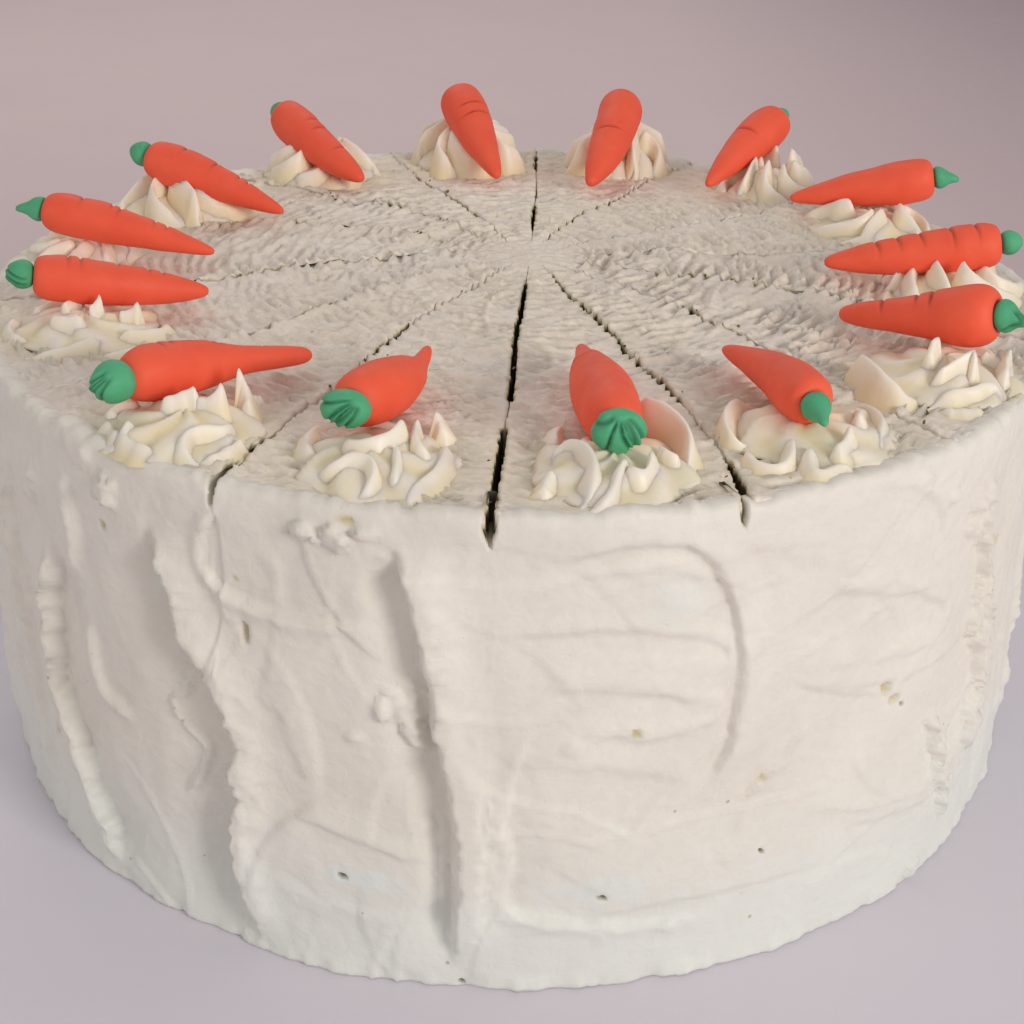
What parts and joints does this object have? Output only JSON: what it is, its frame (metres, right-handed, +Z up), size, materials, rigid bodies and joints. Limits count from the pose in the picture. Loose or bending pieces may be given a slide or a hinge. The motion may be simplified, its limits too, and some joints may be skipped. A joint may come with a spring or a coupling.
{
  "type": "carrot cake",
  "caption": "Tall round carrot cake in a spatula-marked buttercream coat, portioned by shallow cuts, with a ring of piped rosettes that each carry a sugar-paste carrot.",
  "frame": {"origin": "centre of the flat bottom", "axes": "+Z up through the cake's middle; -Y towards the side with the widest open cut"},
  "size_m": [0.266, 0.266, 0.134],
  "materials": {
    "sponge_crumb": "dark moist crumb",
    "buttercream": "off-white buttercream, soft satin, spatula marks",
    "piped_buttercream": "cream buttercream, soft satin, piped with a star nozzle",
    "orange_paste": "matte sugar paste",
    "green_paste": "matte sugar paste"
  },
  "bodies": {
    "root": {"sponge": "sponge_crumb", "buttercream_coat": "buttercream", "rosette_01": "piped_buttercream", "rosette_02": "piped_buttercream", "rosette_03": "piped_buttercream", "rosette_04": "piped_buttercream", "rosette_05": "piped_buttercream", "rosette_06": "piped_buttercream", "rosette_07": "piped_buttercream", "rosette_08": "piped_buttercream", "rosette_09": "piped_buttercream", "rosette_10": "piped_buttercream", "rosette_11": "piped_buttercream", "rosette_12": "piped_buttercream", "rosette_13": "piped_buttercream", "rosette_14": "piped_buttercream", "carrot_01": "orange_paste", "carrot_02": "orange_paste", "carrot_03": "orange_paste", "carrot_04": "orange_paste", "carrot_05": "orange_paste", "carrot_06": "orange_paste", "carrot_07": "orange_paste", "carrot_08": "orange_paste", "carrot_09": "orange_paste", "carrot_10": "orange_paste", "carrot_11": "orange_paste", "carrot_12": "orange_paste", "carrot_13": "orange_paste", "carrot_14": "orange_paste", "carrot_top_01": "green_paste", "carrot_top_02": "green_paste", "carrot_top_03": "green_paste", "carrot_top_04": "green_paste", "carrot_top_05": "green_paste", "carrot_top_06": "green_paste", "carrot_top_07": "green_paste", "carrot_top_08": "green_paste", "carrot_top_09": "green_paste", "carrot_top_10": "green_paste", "carrot_top_11": "green_paste", "carrot_top_12": "green_paste", "carrot_top_13": "green_paste", "carrot_top_14": "green_paste"}
  },
  "joints": []
}
